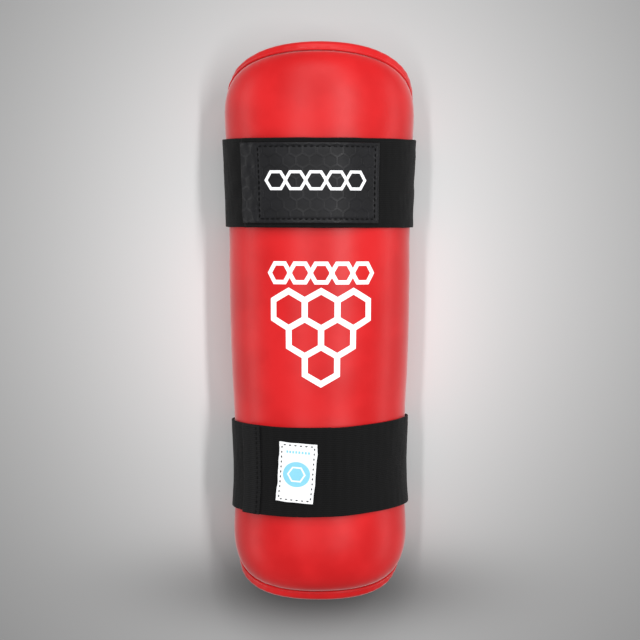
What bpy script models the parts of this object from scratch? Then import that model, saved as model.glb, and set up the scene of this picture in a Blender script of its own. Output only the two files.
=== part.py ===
"""Padded shin guard with its two elastic straps fastened round it.

Metres. The guard lies on its open back: its length runs along Y with the knee end at +Y, its
padded front faces up (+Z), and the straps rest on the surface at Z = 0. The padded pieces are
drawn on a flat pattern (s across the leg, y along it) and wrapped round the leg. The straps are
taut bands round them, and what is sewn on a strap is placed by the run along that strap,
counted from its free end, and by its place across it.
"""

import math
from collections import namedtuple

import bmesh
import bpy
import numpy as np

# Pattern of the guard
LENGTH = 0.3162
WRAP_ANGLE = math.radians(105)
BEND_RADIUS = 0.046
KNEE_CORNER = 0.078
ANKLE_CORNER = 0.060
KNEE_ROUNDNESS = 2.10
ANKLE_ROUNDNESS = 2.35

# Hollow that the leg lies in, measured on the outer face of the back panel
HALF_WIDTH = 0.0540
FRONT_DEPTH = 0.0400
SIDE_DEPTH = 0.0480

# Padded pieces
PAD_THICKNESS = 0.0150
PAD_EDGE = 0.0012
PAD_TILT = math.radians(1.3)
KNEE_TO_SPINE = 0.081
ANKLE_TO_SPINE = 0.088
SIDE_FULLNESS = 2.6
END_FULLNESS = 3.8
SIDE_SLOPE = 0.90
END_SLOPE = 0.50
PANEL_THICKNESS = 0.0030
BINDING_WIDTH = 0.0053
BINDING_THICKNESS = 0.0010

# Straps
STRAP_WIDTH = 0.0500
STRAP_THICKNESS = 0.0013
STRAP_DENT = 0.0009
DENT_EDGE = 0.007
KNEE_TO_STRAP = 0.0545
ANKLE_TO_STRAP = 0.0500
UPPER_FREE_ANGLE = math.radians(-43)
LOWER_FREE_ANGLE = math.radians(-48)
LOWER_SLANT = 0.0013
LOWER_BOW = 0.0027
OVERLAP = 0.050
RAMP = 0.026

# Pieces sewn on the straps
HOOK_THICKNESS = 0.0010
HOOK_LENGTH = 0.030
HOOK_WIDTH = 0.044
HOOK_MARGIN = 0.004
PATCH_LENGTH = 0.077
PATCH_WIDTH = 0.0450
PATCH_THICKNESS = 0.0010
END_BINDING_LENGTH = 0.0103
END_BINDING_THICKNESS = 0.0008
LABEL_LENGTH = 0.0196
LABEL_HEIGHT = 0.0334
LABEL_THICKNESS = 0.0010
LABEL_FROM_END = 0.0310
LABEL_TILT = math.radians(-4.3)

# Gap that pieces keep from each other, and that the straps keep from the guard
CLEARANCE = 0.0003
STRAP_CLEARANCE = 0.0006

# How finely the pieces are drawn
OUTLINE_POINTS = 84
PAD_RINGS = 8
RING_CROWDING = 0.6
BEND_POINTS = 5
SECTION_POINTS = 1201
LOOP_POINTS = 1440
STATIONS_ACROSS = 5
KNOT_TURN = math.radians(7)
KNOT_SHORTEST = 0.0010
KNOT_LONGEST = 0.0055
WELD = 1e-6

# Sections along the guard. along is a share of half the length, from the ankle end at -1 to the
# knee end at 1. width and depth are shares of HALF_WIDTH and FRONT_DEPTH.
Section = namedtuple("Section", "along width depth")
SECTIONS = (
    Section(-1.15, 0.898, 0.90),
    Section(-0.83, 0.832, 0.92),
    Section(-0.60, 0.768, 0.94),
    Section(-0.35, 0.785, 0.95),
    Section(0.00, 0.820, 0.97),
    Section(0.35, 0.840, 0.97),
    Section(0.62, 0.878, 0.99),
    Section(0.85, 0.985, 1.00),
    Section(1.15, 0.963, 0.98),
)

# A strap's slant is how far it rises towards the right, and its bow how far both its sides rise.
Strap = namedtuple("Strap", "centre free_angle slant bow")
UPPER = Strap(LENGTH / 2 - KNEE_TO_STRAP - STRAP_WIDTH / 2, UPPER_FREE_ANGLE, 0.0, 0.0)
LOWER = Strap(ANKLE_TO_STRAP + STRAP_WIDTH / 2 - LENGTH / 2, LOWER_FREE_ANGLE, LOWER_SLANT, LOWER_BOW)

# Middle and radii of the binding's bend, measured from the outer face of the back panel
CHANNEL_MIDDLE = -PANEL_THICKNESS / 2
CHANNEL_RADIUS = PANEL_THICKNESS / 2 + CLEARANCE
BINDING_RADIUS = CHANNEL_RADIUS + BINDING_THICKNESS

# Height of a strap's outer layer above its inner one, where the two overlap
TOP_LAYER = STRAP_THICKNESS + CLEARANCE + HOOK_THICKNESS + CLEARANCE

HALF_PATTERN = WRAP_ANGLE * BEND_RADIUS
PAD_INSET = BINDING_WIDTH + CLEARANCE

# Colour and roughness of each finish
FINISHES = {
    "red_leather": ((0.78, 0.022, 0.026), 0.42),
    "red_leather_lining": ((0.62, 0.020, 0.024), 0.60),
    "black_elastic": ((0.014, 0.014, 0.015), 0.85),
    "black_leather": ((0.035, 0.035, 0.038), 0.45),
    "hook_tape": ((0.010, 0.010, 0.011), 0.90),
    "white_label": ((0.86, 0.88, 0.90), 0.70),
}


def smooth_rows(along, places, values):
    """A smooth curve through a table's rows: each span is a cubic whose slopes follow its neighbours."""
    places, values = np.asarray(places), np.asarray(values)
    slopes = np.gradient(values, places)
    span = np.clip(np.searchsorted(places, along, side="right") - 1, 0, len(places) - 2)
    length = places[span + 1] - places[span]
    t = (np.clip(along, places[0], places[-1]) - places[span]) / length
    rise = values[span + 1] - values[span]
    start, end = slopes[span] * length, slopes[span + 1] * length
    return values[span] + t * start + t**2 * (3 * rise - 2 * start - end) + t**3 * (start + end - 2 * rise)


def section_at(y):
    """Half width and front depth of the hollow at a place along the guard."""
    along = y / (LENGTH / 2)
    places = [row.along for row in SECTIONS]
    width = smooth_rows(along, places, [row.width for row in SECTIONS])
    depth = smooth_rows(along, places, [row.depth for row in SECTIONS])
    return width * HALF_WIDTH, depth * FRONT_DEPTH


def wrap(s, y, lift, axis_height=0.0):
    """Pattern points bent round the leg on an ellipse, and lifted off the back panel's outer face."""
    angle = s / BEND_RADIUS
    half_width, front_depth = section_at(y)
    depth = np.where(np.cos(angle) > 0, front_depth, SIDE_DEPTH)
    x = (half_width + lift) * np.sin(angle)
    z = (depth + lift) * np.cos(angle) + axis_height
    return np.stack([x, y + 0 * x, z], axis=-1)


def right_side(inset):
    """The right half of the pattern's edge moved inwards by inset, from the ankle end to the knee
    end: a straight side between two rounded ends."""
    half_width = HALF_PATTERN - inset
    knee = KNEE_CORNER - inset
    ankle = ANKLE_CORNER - inset
    knee_start = LENGTH / 2 - KNEE_CORNER
    ankle_start = ANKLE_CORNER - LENGTH / 2
    quarter = np.linspace(0, math.pi / 2, LOOP_POINTS)
    knee_s = half_width * np.cos(quarter) ** (2 / KNEE_ROUNDNESS)
    knee_y = knee_start + knee * np.sin(quarter) ** (2 / KNEE_ROUNDNESS)
    ankle_s = half_width * np.cos(quarter[::-1]) ** (2 / ANKLE_ROUNDNESS)
    ankle_y = ankle_start - ankle * np.sin(quarter[::-1]) ** (2 / ANKLE_ROUNDNESS)
    return np.concatenate([ankle_s, knee_s]), np.concatenate([ankle_y, knee_y])


def outline(inset, tilt=0.0):
    """The pattern's edge moved inwards by inset. Its points are even along the outer edge, and those
    of every inset lie side by side."""
    s, y = right_side(0.0)
    run = np.concatenate([[0], np.cumsum(np.hypot(np.diff(s), np.diff(y)))])
    count = np.arange(len(run))
    place = np.interp(np.linspace(0, run[-1], OUTLINE_POINTS // 2 + 1), run, count)
    s, y = [np.interp(place, count, values) for values in right_side(inset)]
    s = np.concatenate([s, -s[-2:0:-1]])
    y = np.concatenate([y, y[-2:0:-1]])
    return turned(s, y, tilt)


def turned(s, y, tilt):
    """Pattern points turned about the middle of the pattern."""
    return s * math.cos(tilt) - y * math.sin(tilt), s * math.sin(tilt) + y * math.cos(tilt)


def rings():
    """Rings of the pad's pattern, from its seam to the line down its middle: crowded at the seam."""
    s, y = outline(PAD_INSET)
    spine = np.clip(y, ANKLE_TO_SPINE - LENGTH / 2, LENGTH / 2 - KNEE_TO_SPINE)
    even = np.linspace(0, 1, PAD_RINGS + 1)
    crowded = 1 - np.cos(even * math.pi / 2)
    shares = RING_CROWDING * crowded + (1 - RING_CROWDING) * even
    return [turned(s * (1 - share), spine + (y - spine) * (1 - share), PAD_TILT) for share in shares]


def pad_lift(s, y):
    """Height of the pad's outer face: a dome that stands on the pad's thin edge, and rises steeply
    from the middles of its ends and gently from its corners and sides."""
    s, y = turned(s, y, -PAD_TILT)
    across = np.abs(s) / (HALF_PATTERN - PAD_INSET)
    knee = (y - (LENGTH / 2 - KNEE_CORNER)) / (KNEE_CORNER - PAD_INSET)
    ankle = (ANKLE_CORNER - LENGTH / 2 - y) / (ANKLE_CORNER - PAD_INSET)
    end = np.clip(np.maximum(knee, ankle), 0, None)
    roundness = np.where(y > 0, KNEE_ROUNDNESS, ANKLE_ROUNDNESS)
    level = np.clip((across**roundness + end**roundness) ** (1 / roundness), 0, 1)
    endwise = end**2 / np.maximum(end**2 + across**2, 1e-9)
    fullness = SIDE_FULLNESS + (END_FULLNESS - SIDE_FULLNESS) * endwise
    slope = SIDE_SLOPE + (END_SLOPE - SIDE_SLOPE) * endwise**2
    dome = (1 - level**fullness) ** slope
    return CLEARANCE + PAD_EDGE + (PAD_THICKNESS - PAD_EDGE - strap_dents(s, y)) * dome


def strap_rise(strap, sideways):
    """How far a strap lies towards the knee end, for a place from -1 at its left to 1 at its right."""
    return strap.slant * sideways + strap.bow * sideways**2


def strap_dents(s, y):
    """How deep the straps press into the pad: even under a strap, and eased off beyond its edges."""
    dent = np.zeros_like(y)
    for strap in (UPPER, LOWER):
        rise = strap_rise(strap, np.sin(s / BEND_RADIUS))
        off = np.abs(y - strap.centre - rise) - STRAP_WIDTH / 2
        share = np.clip(1 - off / DENT_EDGE, 0, 1)
        dent += STRAP_DENT * share * share * (3 - 2 * share)
    return dent


def edge_points(radius):
    """Inset and lift of the rounded edge of the binding, from its front face to its back face."""
    bend = np.linspace(math.pi / 2, -math.pi / 2, BEND_POINTS)
    inset = BINDING_RADIUS - radius * np.cos(bend)
    return inset, CHANNEL_MIDDLE + radius * np.sin(bend)


def cross_section(y):
    """Points round the outside of the guard at one place along it, as x and z."""
    edge = HALF_PATTERN - PAD_INSET
    s = np.linspace(-edge, edge, SECTION_POINTS)
    pad = wrap(s, np.full_like(s, y), pad_lift(s, y))
    inset, lift = edge_points(BINDING_RADIUS)
    rim_s = HALF_PATTERN - inset
    rim = [wrap(side * rim_s, np.full_like(rim_s, y), lift) for side in (-1, 1)]
    return np.concatenate([pad, *rim])[:, ::2]


def axis_height():
    """Height of the hollow's axis that lets the straps rest on the surface at Z = 0."""
    lowest = cross_section(0.0)[:, 1].min()
    return STRAP_THICKNESS + STRAP_CLEARANCE - lowest


AXIS_HEIGHT = axis_height()


def loop_at(y, free_angle):
    """A taut band's inner line at one place along the guard, from the free end's direction round to
    the right: for each outward direction, the outside point that lies furthest that way. Its pace
    grows both with the way travelled and with the turn, so bends line up across a strap."""
    turn = free_angle + np.linspace(0, 2 * math.pi, LOOP_POINTS + 1)
    facing = np.stack([np.sin(turn), np.cos(turn)], axis=1)
    outside = cross_section(y) + [0.0, AXIS_HEIGHT]
    line = outside[np.argmax(facing @ outside.T, axis=1)] + STRAP_CLEARANCE * facing
    run = np.concatenate([[0], np.cumsum(np.linalg.norm(np.diff(line, axis=0), axis=1))])
    pace = run + BEND_RADIUS * (turn - turn[0])
    return run, pace, np.hstack([line, facing])


def band_points(strap, run, across, lift):
    """Points on a strap: run along it from its free end, across it from -1 at its ankle edge to 1 at
    its knee edge, and lift off the inner line."""
    run, across, lift = np.broadcast_arrays(run, across, lift)
    middle_run, middle_pace, _ = loop_at(strap.centre, strap.free_angle)
    pace = np.interp(run % middle_run[-1], middle_run, middle_pace) / middle_pace[-1]
    lines = []
    for station in np.linspace(-1, 1, STATIONS_ACROSS):
        y = strap.centre + station * STRAP_WIDTH / 2
        _, station_pace, columns = loop_at(y, strap.free_angle)
        place = pace * station_pace[-1]
        parts = [np.interp(place, station_pace, column) for column in columns.T]
        lines.append(np.stack(parts, axis=-1))
    lines = np.array(lines)
    at = np.clip((across + 1) / 2 * (STATIONS_ACROSS - 1), 0, STATIONS_ACROSS - 1)
    low = np.clip(np.floor(at).astype(int), 0, STATIONS_ACROSS - 2)
    share = (at - low)[..., None]
    grid = np.indices(run.shape)
    found = lines[(low, *grid)] * (1 - share) + lines[(low + 1, *grid)] * share
    x = found[..., 0] + lift * found[..., 2]
    z = found[..., 1] + lift * found[..., 3]
    y = strap.centre + across * STRAP_WIDTH / 2 + strap_rise(strap, x / HALF_WIDTH)
    return np.stack([x, y, z], axis=-1)


def strap_turn(strap):
    """The way round a strap's inner line."""
    return loop_at(strap.centre, strap.free_angle)[0][-1]


def layer(run):
    """Lift of a strap along its run: its free end lies over its other end, then ramps down."""
    t = np.clip((run - OVERLAP) / RAMP, 0, 1)
    return TOP_LAYER * (1 - t * t * (3 - 2 * t))


def over_strap(run):
    """Lift of what is sewn on the outer face of a strap."""
    return layer(run) + STRAP_THICKNESS + CLEARANCE


def between_layers(run):
    """Lift of what lies between a strap's inner end and its free end."""
    return np.full_like(run, STRAP_THICKNESS + CLEARANCE)


def knots(strap, start, end):
    """Runs at which a strap and what lies on it are drawn: closer together where it bends."""
    run, pace, _ = loop_at(strap.centre, strap.free_angle)
    turn = (pace - run) / BEND_RADIUS
    jump = np.append(np.diff(run) > KNOT_SHORTEST, False)
    kept = [0.0]
    last = 0
    for i in range(1, len(run)):
        travelled = run[i] - run[last]
        far = turn[i] - turn[last] >= KNOT_TURN or travelled >= KNOT_LONGEST
        if jump[i] or jump[i - 1] or (far and travelled >= KNOT_SHORTEST):
            kept.append(run[i])
            last = i
    kept = np.array(kept)
    laps = np.concatenate([kept - run[-1], kept, kept + run[-1]])
    inside = laps[(laps > start + KNOT_SHORTEST) & (laps < end - KNOT_SHORTEST)]
    return np.concatenate([[start], inside, [end]])


def new_object(name, mesh, finish):
    """An object in the guard's collection, with its own material in one of the finishes."""
    colour, roughness = FINISHES[finish]
    material = bpy.data.materials.new(f"{name}_{finish}")
    material.use_nodes = True
    surface = material.node_tree.nodes["Principled BSDF"]
    surface.inputs["Base Color"].default_value = (*colour, 1.0)
    surface.inputs["Roughness"].default_value = roughness
    mesh.materials.append(material)
    thing = bpy.data.objects.new(name, mesh)
    bpy.data.collections["shin_guard"].objects.link(thing)
    return thing


def mesh_of_rows(name, rows, closed):
    """A surface through rows of points, each row joined to the next; closed rows are rings."""
    rows = np.array(rows)
    count = rows.shape[1]
    build = bmesh.new()
    verts = [[build.verts.new(point) for point in row] for row in rows]
    last = count if closed else count - 1
    for above, below in zip(verts, verts[1:]):
        for i in range(last):
            j = (i + 1) % count
            build.faces.new((above[i], above[j], below[j], below[i]))
    bmesh.ops.remove_doubles(build, verts=build.verts, dist=WELD)
    bmesh.ops.triangulate(build, faces=build.faces, quad_method="SHORT_EDGE")
    mesh = bpy.data.meshes.new(name)
    build.to_mesh(mesh)
    build.free()
    return mesh


def sheet_object(name, rows, thickness, finish, closed=False, side=1.0):
    """A piece of even thickness: an open surface, thickened along its normals (side 1) or against
    them (side -1)."""
    thing = new_object(name, mesh_of_rows(name, rows, closed), finish)
    wall = thing.modifiers.new("thickness", "SOLIDIFY")
    wall.thickness = thickness
    wall.offset = side
    wall.use_even_offset = True
    return thing


def front_pad():
    """The foam pad: a flat-backed dome on the back panel, closed round its seam."""
    rows = [wrap(s, y, np.full_like(s, CLEARANCE), AXIS_HEIGHT) for s, y in reversed(rings())]
    rows += [wrap(s, y, pad_lift(s, y), AXIS_HEIGHT) for s, y in rings()]
    return new_object("front_pad", mesh_of_rows("front_pad", rows, True), "red_leather")


def back_panel():
    """The panel against the leg: as long and wide as the binding leaves room for."""
    lines = [outline(BINDING_RADIUS), *rings()]
    rows = [wrap(s, y, np.zeros_like(s), AXIS_HEIGHT) for s, y in lines]
    return sheet_object("back_panel", rows, PANEL_THICKNESS, "red_leather_lining", True, -1.0)


def edge_binding():
    """The strip folded round the edge of the back panel, from the pad's seam to the inside."""
    inset, lift = edge_points(CHANNEL_RADIUS)
    front = outline(BINDING_WIDTH, PAD_TILT)
    back = outline(BINDING_WIDTH)
    lines = [(*front, lift[0]), *[(*outline(i), h) for i, h in zip(inset, lift)], (*back, lift[-1])]
    rows = [wrap(s, y, np.full_like(s, h), AXIS_HEIGHT) for s, y, h in lines]
    return sheet_object("edge_binding", rows, BINDING_THICKNESS, "red_leather", True, -1.0)


def strap_band(name, strap):
    """An elastic strap: one turn and an overlap, from its free end to its end underneath."""
    run = knots(strap, 0.0, strap_turn(strap) + OVERLAP)
    across = np.linspace(-1, 1, STATIONS_ACROSS)
    rows = [band_points(strap, run, station, layer(run)) for station in across]
    return sheet_object(name, rows, STRAP_THICKNESS, "black_elastic")


def on_strap(name, strap, start, length, width, lift, thickness, finish):
    """A flat piece that lies along a strap: lift gives its height for each place along its run."""
    run = knots(strap, start, start + length)
    across = np.linspace(-1, 1, STATIONS_ACROSS) * width / STRAP_WIDTH
    rows = [band_points(strap, run, station, lift(run)) for station in across]
    return sheet_object(name, rows, thickness, finish)


def hook_pad(name, strap):
    """The hook tape that holds a strap's free end to the layer under it."""
    start = OVERLAP - HOOK_LENGTH - HOOK_MARGIN
    size = (HOOK_LENGTH, HOOK_WIDTH)
    return on_strap(name, strap, start, *size, between_layers, HOOK_THICKNESS, "hook_tape")


def strap_patch():
    """The leather patch sewn over the free end of the upper strap."""
    size = (PATCH_LENGTH, PATCH_WIDTH)
    return on_strap("strap_patch", UPPER, 0.0, *size, over_strap, PATCH_THICKNESS, "black_leather")


def strap_end_binding():
    """The strip folded round the free end of the lower strap."""
    radius = STRAP_THICKNESS / 2 + CLEARANCE
    bend = np.linspace(math.pi / 2, -math.pi / 2, BEND_POINTS)
    middle = TOP_LAYER + STRAP_THICKNESS / 2
    leaf = knots(LOWER, 0.0, END_BINDING_LENGTH)[1:]
    run = np.concatenate([leaf[::-1], -radius * np.cos(bend), leaf])
    top = np.full_like(leaf, middle + radius)
    bottom = np.full_like(leaf, middle - radius)
    lift = np.concatenate([top, middle + radius * np.sin(bend), bottom])
    across = np.linspace(1, -1, STATIONS_ACROSS)
    rows = [band_points(LOWER, run, station, lift) for station in across]
    return sheet_object("strap_end_binding", rows, END_BINDING_THICKNESS, "black_elastic")


def woven_label():
    """The small woven label sewn on the lower strap, a little askew."""
    run = np.linspace(-LABEL_LENGTH / 2, LABEL_LENGTH / 2, STATIONS_ACROSS)
    height = np.linspace(-LABEL_HEIGHT / 2, LABEL_HEIGHT / 2, STATIONS_ACROSS)
    rows = []
    for level in height:
        along, up = turned(run, level, LABEL_TILT)
        place = LABEL_FROM_END + along
        rows.append(band_points(LOWER, place, up / (STRAP_WIDTH / 2), over_strap(place)))
    return sheet_object("woven_label", rows, LABEL_THICKNESS, "white_label")


def main():
    """Clears the scene and builds every piece."""
    for thing in list(bpy.data.objects):
        bpy.data.objects.remove(thing)
    guard = bpy.data.collections.new("shin_guard")
    bpy.context.scene.collection.children.link(guard)
    front_pad()
    back_panel()
    edge_binding()
    strap_band("upper_strap", UPPER)
    hook_pad("upper_strap_hook", UPPER)
    strap_patch()
    strap_band("lower_strap", LOWER)
    hook_pad("lower_strap_hook", LOWER)
    strap_end_binding()
    woven_label()


main()
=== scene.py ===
"""The looks of a padded shin guard: red synthetic leather over foam, held by two black elastic straps.

The guard lies on its open back with its knee end at +Y and its padded front up. Its padded pieces
are drawn on a flat pattern (s across the leg, y along it) and wrapped round the leg. A strap is a
taut band round them, and what is sewn on it is placed by the run along that strap, counted from its
free end, and by its place across it. Lengths are in metres and turns in radians.
"""

import math

import bmesh
import bpy
import numpy as np
from bpy.props import FloatProperty, FloatVectorProperty, IntProperty, PointerProperty
from mathutils import Matrix, Vector


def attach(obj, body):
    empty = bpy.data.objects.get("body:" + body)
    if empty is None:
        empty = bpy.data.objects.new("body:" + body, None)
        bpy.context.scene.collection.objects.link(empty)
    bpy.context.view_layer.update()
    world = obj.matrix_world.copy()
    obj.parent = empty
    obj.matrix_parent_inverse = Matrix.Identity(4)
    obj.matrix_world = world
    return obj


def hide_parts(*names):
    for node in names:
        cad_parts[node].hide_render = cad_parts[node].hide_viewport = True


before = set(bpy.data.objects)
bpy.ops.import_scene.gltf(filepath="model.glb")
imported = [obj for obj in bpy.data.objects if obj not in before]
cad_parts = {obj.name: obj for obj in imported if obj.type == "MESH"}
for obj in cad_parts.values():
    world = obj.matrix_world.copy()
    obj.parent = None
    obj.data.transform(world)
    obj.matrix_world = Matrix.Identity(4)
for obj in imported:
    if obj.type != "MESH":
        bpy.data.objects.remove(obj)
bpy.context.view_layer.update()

bl_info = {
    "name": "Shin guard",
    "version": (1, 0, 0),
    "blender": (4, 5, 0),
    "location": "View3D > Sidebar > Shin guard",
    "description": "Builds the visible pieces and finishes of a padded shin guard with elastic straps",
    "category": "Object",
}

# Sections along the guard: the place as a share of half its length, from the ankle end at -1 to the
# knee end at 1, and the hollow's half width and front depth as shares of the form's.
SECTION_PLACES = (-1.15, -0.83, -0.60, -0.35, 0.00, 0.35, 0.62, 0.85, 1.15)
SECTION_WIDTHS = (0.898, 0.832, 0.768, 0.785, 0.820, 0.840, 0.878, 0.985, 0.963)
SECTION_DEPTHS = (0.90, 0.92, 0.94, 0.95, 0.97, 0.97, 0.99, 1.00, 0.98)

# The gap between pieces that lie on or beside each other, and one millimetre.
GAP = 0.0003
MM = 0.001


def length_of(name, description, default):
    """A length that a user may change."""
    return FloatProperty(name=name, description=description, default=default, unit="LENGTH", precision=5)


def turn_of(name, description, degrees):
    """An angle that a user may change."""
    return FloatProperty(
        name=name, description=description, default=math.radians(degrees), unit="ROTATION", subtype="ANGLE"
    )


def colour_of(name, description, default):
    """A colour that a user may change."""
    return FloatVectorProperty(
        name=name, description=description, default=default, size=3, subtype="COLOR", min=0, max=1
    )


def share_of(name, description, default, high=10.0):
    """A plain number that a user may change."""
    return FloatProperty(name=name, description=description, default=default, min=0, max=high)


class GuardForm(bpy.types.PropertyGroup):
    """Sizes of the guard's pattern and padding."""

    length: length_of("Length", "From the knee end to the ankle end", 0.3162)
    wrap_angle: turn_of("Wrap angle", "Turn from the middle of the front to a side edge", 105)
    bend_radius: length_of("Bend radius", "Pattern length for one radian round the leg", 0.046)
    knee_corner: length_of("Knee corner", "Length of the rounded knee end", 0.078)
    ankle_corner: length_of("Ankle corner", "Length of the rounded ankle end", 0.060)
    knee_roundness: share_of("Knee roundness", "2 is an ellipse, more is squarer", 2.10)
    ankle_roundness: share_of("Ankle roundness", "2 is an ellipse, more is squarer", 2.35)
    half_width: length_of("Half width", "Half the panel's width at the knee end", 0.0540)
    front_depth: length_of("Front depth", "From the hollow's axis to the panel's front", 0.0400)
    side_depth: length_of("Side depth", "How far the sides reach round behind the axis", 0.0480)
    pad_thickness: length_of("Pad thickness", "Foam and cover at the middle of the front", 0.0150)
    pad_edge: length_of("Pad edge", "Thickness of the pad at its seam", 0.0012)
    pad_tilt: turn_of("Pad tilt", "How far the pad is sewn askew on the panel", 1.3)
    knee_to_spine: length_of("Knee to spine", "From the knee end to the pad's middle line", 0.081)
    ankle_to_spine: length_of("Ankle to spine", "From the ankle end to the pad's middle line", 0.088)
    side_fullness: share_of("Side fullness", "Shape of the dome towards its sides", 2.6)
    end_fullness: share_of("End fullness", "Shape of the dome towards its ends", 3.8)
    side_slope: share_of("Side slope", "Rise at the corners and sides: 0.5 is steep, 1 is gentle", 0.90)
    end_slope: share_of("End slope", "Rise at the middles of the ends", 0.50)
    swell: length_of("Swell", "Most that the pad's cover stands off its foam", 0.0004)
    panel_thickness: length_of("Panel thickness", "Wall of the back panel", 0.0030)
    binding_width: length_of("Binding width", "From the guard's edge to the seam", 0.0053)
    binding_thickness: length_of("Binding thickness", "Wall of the edge binding", 0.0010)
    welt_radius: length_of("Welt radius", "Radius of the raised ridge along the seam", 0.00065)
    points_round: IntProperty(name="Points round", description="Points in a ring of the pad", default=720)


class StrapForm(bpy.types.PropertyGroup):
    """Sizes of the elastic straps and of the hook tape under their free ends."""

    width: length_of("Width", "Width of the elastic", 0.0500)
    thickness: length_of("Thickness", "Thickness of the elastic", 0.0013)
    dent: length_of("Dent", "How deep the straps press into the pad", 0.0009)
    dent_edge: length_of("Dent edge", "Length over which the pad swells again beside a strap", 0.028)
    knee_to_strap: length_of("Knee to strap", "From the knee end to the upper strap", 0.0545)
    ankle_to_strap: length_of("Ankle to strap", "From the ankle end to the lower strap", 0.0500)
    upper_free_angle: turn_of("Upper free end", "Direction in which the upper strap ends", -43)
    lower_free_angle: turn_of("Lower free end", "Direction in which the lower strap ends", -48)
    lower_slant: length_of("Lower slant", "Rise of the lower strap from its middle to its right side", 0.0013)
    lower_bow: length_of("Lower bow", "How far both its sides lie above its middle", 0.0027)
    clearance: length_of("Clearance", "From the guard to a strap's inner face", 0.0006)
    overlap: length_of("Overlap", "Run of a strap's free end over its other end", 0.050)
    ramp: length_of("Ramp", "Run over which a strap comes down from its other end", 0.026)
    hook_thickness: length_of("Hook thickness", "Thickness of the hook tape", 0.0010)
    hook_length: length_of("Hook length", "Run of the hook tape", 0.030)
    hook_width: length_of("Hook width", "Width of the hook tape", 0.044)
    hook_margin: length_of("Hook margin", "From the hook tape to the end of the layer under it", 0.004)


class TrimForm(bpy.types.PropertyGroup):
    """Sizes of what is sewn on the straps."""

    patch_length: length_of("Patch length", "Run of the leather patch", 0.077)
    patch_width: length_of("Patch width", "Width of the leather patch", 0.0450)
    patch_thickness: length_of("Patch thickness", "Thickness of the leather patch", 0.0010)
    patch_tab: length_of("Patch tab", "From the patch's free end to its stitches", 0.0109)
    patch_margin: length_of("Patch margin", "From the patch's other edges to its stitches", 0.0024)
    patch_pitch: length_of("Patch stitch pitch", "From one stitch to the next", 0.0030)
    end_length: length_of("End binding length", "Run of the folded strip on the lower strap", 0.0103)
    end_thickness: length_of("End binding thickness", "Thickness of that strip", 0.0008)
    label_length: length_of("Label length", "Size of the label along the strap", 0.0196)
    label_height: length_of("Label height", "Size of the label across the strap", 0.0334)
    label_thickness: length_of("Label thickness", "Thickness of the label", 0.0010)
    label_from_end: length_of("Label place", "Run from the strap's free end to the label's middle", 0.0310)
    label_tilt: turn_of("Label tilt", "How far the label is sewn askew", -4.3)
    label_margin: length_of("Label margin", "From the label's edge to its stitches", 0.0014)
    label_pitch: length_of("Label stitch pitch", "From one stitch to the next", 0.0029)


class GuardColours(bpy.types.PropertyGroup):
    """Colours of the finishes."""

    red: colour_of("Red leather", "Cover of the pad and the binding", (0.575, 0.0040, 0.0058))
    lining: colour_of("Lining", "Panel against the leg", (0.55, 0.012, 0.016))
    elastic: colour_of("Elastic", "Straps", (0.0028, 0.0028, 0.0029))
    patch: colour_of("Patch", "Leather patch", (0.0042, 0.0042, 0.0054))
    thread: colour_of("Thread", "Stitches on the straps", (0.0015, 0.0015, 0.0015))
    white: colour_of("White", "Prints and label", (0.94, 0.95, 0.96))
    light_blue: colour_of("Light blue", "Woven motif on the label", (0.25, 0.66, 0.84))
    floor: colour_of("Floor", "Floor under the guard", (0.64, 0.64, 0.64))


class StageForm(bpy.types.PropertyGroup):
    """Camera and floor."""

    camera_height: length_of("Camera height", "From the hollow's axis to the camera", 1.285)
    camera_along: length_of("Camera along", "Place of the camera along the guard", 0.0643)
    camera_tilt: turn_of("Camera tilt", "How far the camera looks towards the ankle end", 2.886)
    camera_roll: turn_of("Camera roll", "How far the picture is turned", 0.2)
    camera_across: length_of("Camera across", "Place of the camera across the guard", 0.0002)
    lens: share_of("Lens", "Focal length in millimetres on a 36 mm sensor", 124.4, 500)
    floor_size: length_of("Floor size", "Side of the square floor", 6.0)


def smooth_rows(along, values):
    """A smooth curve through a section column: each span is a cubic whose slopes follow its neighbours."""
    places, values = np.asarray(SECTION_PLACES), np.asarray(values)
    slopes = np.gradient(values, places)
    span = np.clip(np.searchsorted(places, along, side="right") - 1, 0, len(places) - 2)
    length = places[span + 1] - places[span]
    t = (np.clip(along, places[0], places[-1]) - places[span]) / length
    rise = values[span + 1] - values[span]
    start, end = slopes[span] * length, slopes[span + 1] * length
    return values[span] + t * start + t**2 * (3 * rise - 2 * start - end) + t**3 * (start + end - 2 * rise)


def soft_noise(points, wavelength, seed, waves=14):
    """Smooth unevenness from -1 to 1 or so: the mean of sine waves in seeded directions and phases."""
    chance = np.random.default_rng(seed)
    ways = chance.normal(size=(waves, points.shape[-1]))
    pitches = math.tau / wavelength * chance.uniform(0.6, 1.5, (waves, 1))
    ways *= pitches / np.linalg.norm(ways, axis=1)[:, None]
    phases = chance.uniform(0, math.tau, waves)
    return np.sin(points @ ways.T + phases).sum(axis=-1) / math.sqrt(waves)


def ease(low, high, value):
    """0 below low and 1 above high, with the cubic 3t^2 - 2t^3 between them."""
    t = np.clip((value - low) / (high - low), 0, 1)
    return t * t * (3 - 2 * t)


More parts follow.
